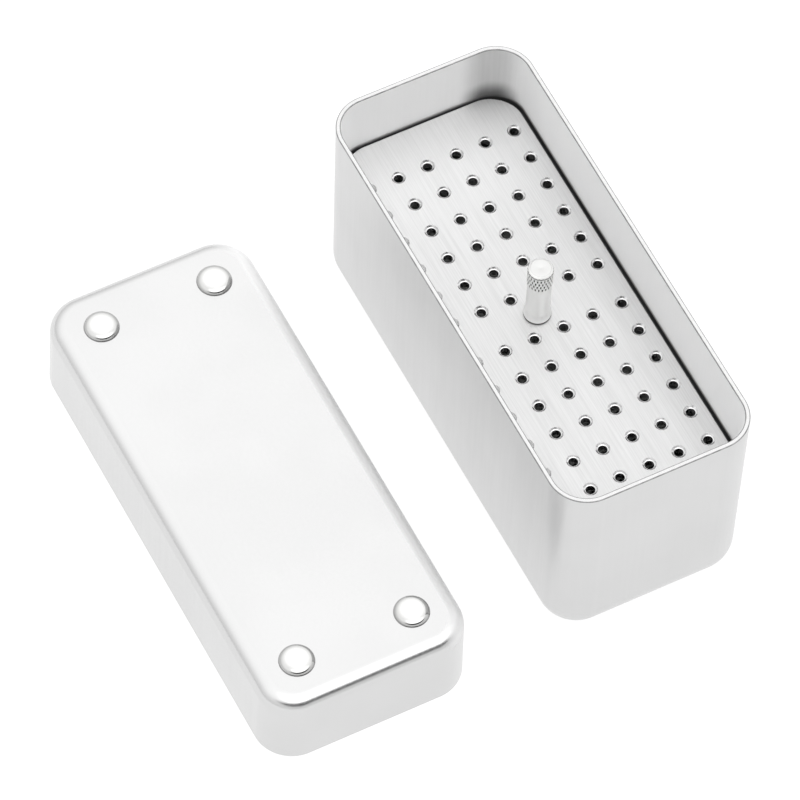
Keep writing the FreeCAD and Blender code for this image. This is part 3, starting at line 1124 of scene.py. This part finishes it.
def white_tent():
    """White light tent, which the camera sees as plain white. Its cloth is brighter towards the top and a
    little darker at its foot. A lamp glows through it high up in front, and below the lamp it is open to the
    dark room."""
    world = bpy.data.worlds.new("white_tent")
    bpy.context.scene.world = world
    world.use_nodes = True
    tree = world.node_tree
    tree.nodes.clear()
    direction = node(tree, "ShaderNodeTexCoord").outputs["Generated"]

    def along(axis):
        dot = node(tree, "ShaderNodeVectorMath", {"operation": "DOT_PRODUCT"}, {0: direction, 1: axis})
        return dot.outputs["Value"]

    def squared(amount):
        return math_node(tree, "MULTIPLY", amount, amount)

    height = along((0, 0, 1))
    cloth = between(tree, height, 0.89, 1.43, 0.05, 0.85)
    foot = between(tree, height, 0.8, 1.0, 0.02, 0.12)
    lamp = towards(math.radians(95), math.radians(62))
    glow = between(tree, along(lamp), 0.0, 0.9, 0.75, 0.95)
    front = towards(math.radians(85), 0)
    beside = towards(math.radians(175), 0)
    opening_height, half_width, half_height = 0.48, 0.8, 0.19
    above_middle = math_node(tree, "SUBTRACT", height, opening_height)
    across = math_node(tree, "DIVIDE", along(beside), half_width)
    upwards = math_node(tree, "DIVIDE", above_middle, half_height)
    reach = math_node(tree, "ADD", squared(across), squared(upwards))
    in_front = between(tree, along(front), 0.0, 1.0, 0.0, 0.2)
    opening = math_node(tree, "MULTIPLY", between(tree, reach, 1.0, 0.0, 0.6, 1.2), in_front)
    open_front = math_node(tree, "SUBTRACT", 1.0, math_node(tree, "MULTIPLY", opening, 0.97))
    lit_cloth = math_node(tree, "ADD", math_node(tree, "MULTIPLY", cloth, foot), glow)
    light = math_node(tree, "MULTIPLY", lit_cloth, open_front)
    seen = node(tree, "ShaderNodeLightPath").outputs["Is Camera Ray"]
    shown = math_node(tree, "MAXIMUM", seen, light)
    lit = node(tree, "ShaderNodeBackground", inputs={"Color": (1, 1, 1, 1), "Strength": shown})
    node(tree, "ShaderNodeOutputWorld", inputs={"Surface": lit.outputs["Background"]})


class SetStage(bpy.types.Operator):
    """Sets the white table, the light tent and the camera"""

    bl_idname = "endodontic_box.stage"
    bl_label = "Stage"

    def execute(self, context):
        clear_selection()
        bpy.ops.mesh.primitive_plane_add(size=FLOOR_SIZE, location=(0, 0, -FLOOR_DROP))
        floor = bpy.context.object
        floor.name = "white_table"
        settle(floor)
        floor.data.materials.append(finish(lit_white_acrylic, "floor"))
        white_tent()
        outwards = towards(CAMERA_AZIMUTH, CAMERA_ELEVATION)
        bpy.ops.object.camera_add(location=CAMERA_AIM + CAMERA_DISTANCE * outwards)
        camera = bpy.context.object
        camera.rotation_mode = "QUATERNION"
        level = (-outwards).to_track_quat("-Z", "Y")
        camera.rotation_quaternion = level @ Quaternion((0, 0, 1), CAMERA_ROLL)
        camera.data.sensor_width = 36
        camera.data.lens = CAMERA_LENS
        camera.data.clip_end = 100
        context.scene.camera = camera
        context.scene.view_settings.view_transform = "Standard"
        return {"FINISHED"}


OPERATORS = [
    ModelDrawnBox, ModelDrawnLid, ModelStuds, ModelTopPlate, ModelGuidePlate, ModelPillarsAndFeet,
    ModelPost, ModelNutAndWasher, SetStage,
]


class EndodonticBoxPanel(bpy.types.Panel):
    """Lists the model's settings and operators in the 3D view's sidebar"""

    bl_idname = "VIEW3D_PT_endodontic_box"
    bl_label = "Endodontic Box"
    bl_space_type = "VIEW_3D"
    bl_region_type = "UI"
    bl_category = "Endodontic Box"

    def draw(self, context):
        for operator in OPERATORS:
            self.layout.operator(operator.bl_idname)
        for group_name in ("shells", "rack", "post", "studs", "finishes"):
            group = getattr(settings(), group_name)
            box = self.layout.box()
            box.label(text=group_name.capitalize())
            for field in group.__annotations__:
                box.prop(group, field)


GROUPS = [ShellSizes, RackSizes, PostSizes, StudSizes, Finishes, EndodonticBoxSettings]


def register():
    for made in (*GROUPS, *OPERATORS, EndodonticBoxPanel):
        bpy.utils.register_class(made)
    bpy.types.Scene.endodontic_box = PointerProperty(type=EndodonticBoxSettings)


def unregister():
    del bpy.types.Scene.endodontic_box
    for made in reversed((*GROUPS, *OPERATORS, EndodonticBoxPanel)):
        bpy.utils.unregister_class(made)


def main():
    register()
    bpy.ops.endodontic_box.drawn_box()
    bpy.ops.endodontic_box.drawn_lid()
    bpy.ops.endodontic_box.studs()
    bpy.ops.endodontic_box.top_plate()
    bpy.ops.endodontic_box.guide_plate()
    bpy.ops.endodontic_box.pillars_and_feet()
    bpy.ops.endodontic_box.lifting_post()
    bpy.ops.endodontic_box.nut_and_washer()
    bpy.ops.endodontic_box.stage()


if __name__ == "__main__":
    main()
